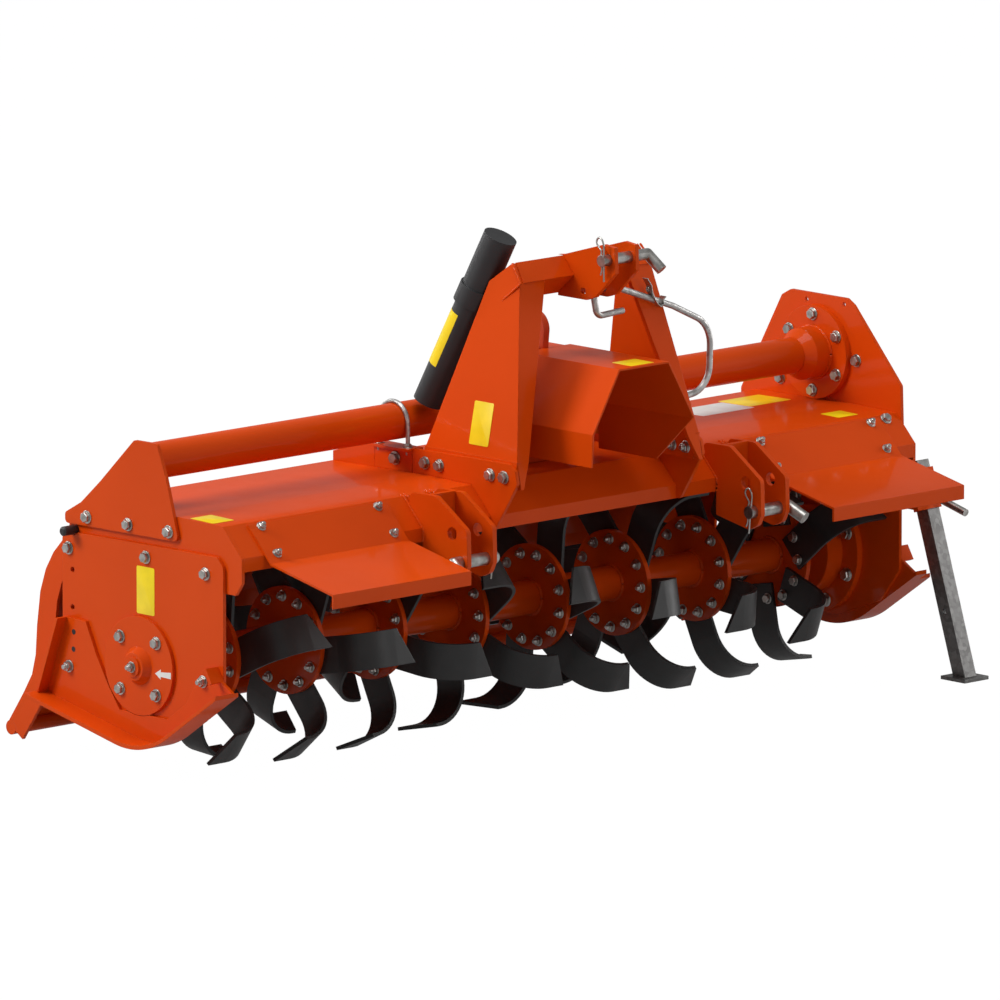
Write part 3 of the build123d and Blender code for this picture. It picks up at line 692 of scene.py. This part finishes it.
def bentStrip(name, line, y, width, thick, material, body):
    # a narrow strip bent along a line of (x, z) pairs, running back from y
    places = [Vector((x, z)) for x, z in line]
    left, right = [], []
    for i, place in enumerate(places):
        ahead = (places[min(i + 1, len(places) - 1)] - places[max(i - 1, 0)]).normalized()
        across = Vector((-ahead.y, ahead.x)) * thick / 2
        left.append(place + across)
        right.append(place - across)
    outline = left + right[::-1]
    shape = bmesh.new()
    front, back = ([shape.verts.new(spot(p.x, y + deep, p.y)) for p in outline] for deep in (0, width))
    joinRings(shape, front, back)
    count = len(outline)
    for ring in (front, back):
        for i in range(len(places) - 1):
            shape.faces.new((ring[i], ring[i + 1], ring[count - 2 - i], ring[count - 1 - i]))
    return addPiece(name, finishMesh(name, shape, 50), material, body)


def hookClip():
    line = [(148, 748), (160, 731), (163, 716), (171, 700), (180, 688), (190, 681), (197, 686), (196, 696),
            (204, 702)]
    bentStrip("hookClip", line, -352, 17, 2.2, zinc, "frame")
    fastenerSet("clipScrew", [(spot(162, -338, 722), (0, -1, 0))], 6, "frame")


def buildShaft():
    # six splines with a locking groove, in place of the plain shaft
    look = dict(outer=17.4, root=14.3, splines=6, steps=12, start=-293)
    heights = [(0, 0.88), (3, 1), (24, 1), (26, 0.8), (33, 0.8), (35, 1), (100, 1)]  # along, share of outer
    shape = bmesh.new()
    count = look["splines"] * look["steps"]
    rings = []
    for along, swell in heights:
        ring = []
        for i in range(count):
            t = 2 * math.pi * i / count
            raised = i % look["steps"] < look["steps"] // 2
            r = look["outer"] * swell if raised else min(look["root"], look["outer"] * swell)
            ring.append(shape.verts.new(spot(r * math.cos(t), look["start"] + along,
                                             lineHeight + r * math.sin(t))))
        rings.append(ring)
    for low, high in zip(rings, rings[1:]):
        joinRings(shape, low, high)
    shape.faces.new(rings[0])
    shape.faces.new(rings[-1][::-1])
    shaft = addPiece("splinedShaft", finishMesh("splinedShaft", shape, 25), steel, "pto")
    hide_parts("input_shaft")


buildWires()
hingeKnobs()
hookClip()
buildShaft()
print("wires and shaft made")


def buildWelds():
    tube = dict(rotor=38.5, cross=40.5, collar=58.5, flangeSide=7)
    rotorRings = []
    for i in range(flanges["count"]):
        x = flanges["first"] + flanges["pitch"] * i
        rotorRings += [ringPoints(x + side * tube["flangeSide"], 0, tube["rotor"]) for side in (-1, 1)]
    weldBead("flangeWelds", rotorRings, 4.5, "rotor")
    tubeRings = [ringPoints(x, lineHeight, tube["cross"]) for x in (-101, 101, -1015)]
    tubeRings.append(ringPoints(1001, lineHeight, tube["collar"]))
    weldBead("tubeWelds", tubeRings, 4.0, "frame")
    # clevis plates up the hood's front, and the legs' joints with the bar
    clevis = dict(across=(398, 410, 474, 486), line=((-312, 243), (-312, 271), (-253, 333), (-240, 336)))
    corner = ((204, -264, 730), (200, -316, 772), (192, -282, 812))
    seams = []
    for side in (-1, 1):
        seams += [[(side * x, y, z) for y, z in clevis["line"]] for x in clevis["across"]]
        seams.append([(side * x, y, z) for x, y, z in corner])
    weldBead("hitchWelds", seams, 2.6, "frame")


def tabHoles():
    # dark discs standing for two holes in the upright tab of the left skid: painted shade for the dark inside
    # of each hole
    shape = bmesh.new()
    for y, z in ((206, 46), (207, 8)):
        addLathe(shape, [(6, -0.1), (6, 0.15), (0, 0.15)], turnTo((-1, 0, 0), spot(-webFace, y, z)))
    addPiece("tabHoles", finishMesh("tabHoles", shape), plastic, "frame")


def bracketTails():
    # plates that run back from the tube clamps and slope down to the hood's rear edge
    look = dict(inner=275.2, outer=283.2, line=[(56, 332.5), (56, 387), (82, 385), (188, 353), (188, 329.5)])
    for side, tag in ends:
        shape = bmesh.new()
        walls = [[shape.verts.new(spot(side * x, y, z)) for y, z in look["line"]]
                 for x in (look["inner"], look["outer"])]
        for wall in walls:
            shape.faces.new(wall)
        for i in range(len(look["line"])):
            shape.faces.new((walls[0][i - 1], walls[0][i], walls[1][i], walls[1][i - 1]))
        addPiece("bracketTail" + tag, finishMesh("bracketTail" + tag, shape), paint, "frame")


def gearboxCovers():
    # cast covers at the rear and front, bolts round the rear one, and filler, level and breather plugs
    look = dict(rearFace=62, frontFace=-193, bolts=62, boltFace=72)
    shape = bmesh.new()
    addLathe(shape, [(72, -1), (72, 7), (69, 10), (40, 10), (37, 13), (30, 16), (0, 17)],
             turnTo((0, 1, 0), spot(0, look["rearFace"], lineHeight)), 40)
    addLathe(shape, [(52, -1), (52, 5), (49, 8), (0, 8)],
             turnTo((0, -1, 0), spot(0, look["frontFace"], lineHeight)), 36)
    addPiece("gearboxCovers", finishMesh("gearboxCovers", shape), casting, "frame")
    ring = [(spot(look["bolts"] * math.cos(t), look["boltFace"], lineHeight + look["bolts"] * math.sin(t)),
             (0, 1, 0)) for t in (math.radians(22.5 + 45 * i) for i in range(8))]
    plugs = [(spot(-58, look["rearFace"], 372), (0, 1, 0)), (spot(60, look["rearFace"], 545), (0, 1, 0)),
             (spot(-52, -60, 585), (0, 0, 1))]
    fastenerSet("gearboxBolts", ring + plugs, 8, "frame")


def caseBosses():
    # round bosses over the drive case's two shafts, and its plugs
    shape = bmesh.new()
    for z, radius in ((0, 52), (lineHeight, 48)):
        profile = [(radius, -1), (radius, 5), (radius - 3, 8), (radius * 0.5, 8), (radius * 0.45, 5), (0, 5)]
        addLathe(shape, profile, turnTo((1, 0, 0), spot(caseFace, 0, z)), 36)
    addPiece("caseBosses", finishMesh("caseBosses", shape), paint, "frame")
    plugs = [(spot(caseFace, y, z), (1, 0, 0)) for y, z in ((30, 330), (-40, 120))]
    fastenerSet("casePlugs", plugs, 10, "frame")


buildWelds()
tabHoles()
bracketTails()
gearboxCovers()
caseBosses()
print("welds and covers made")
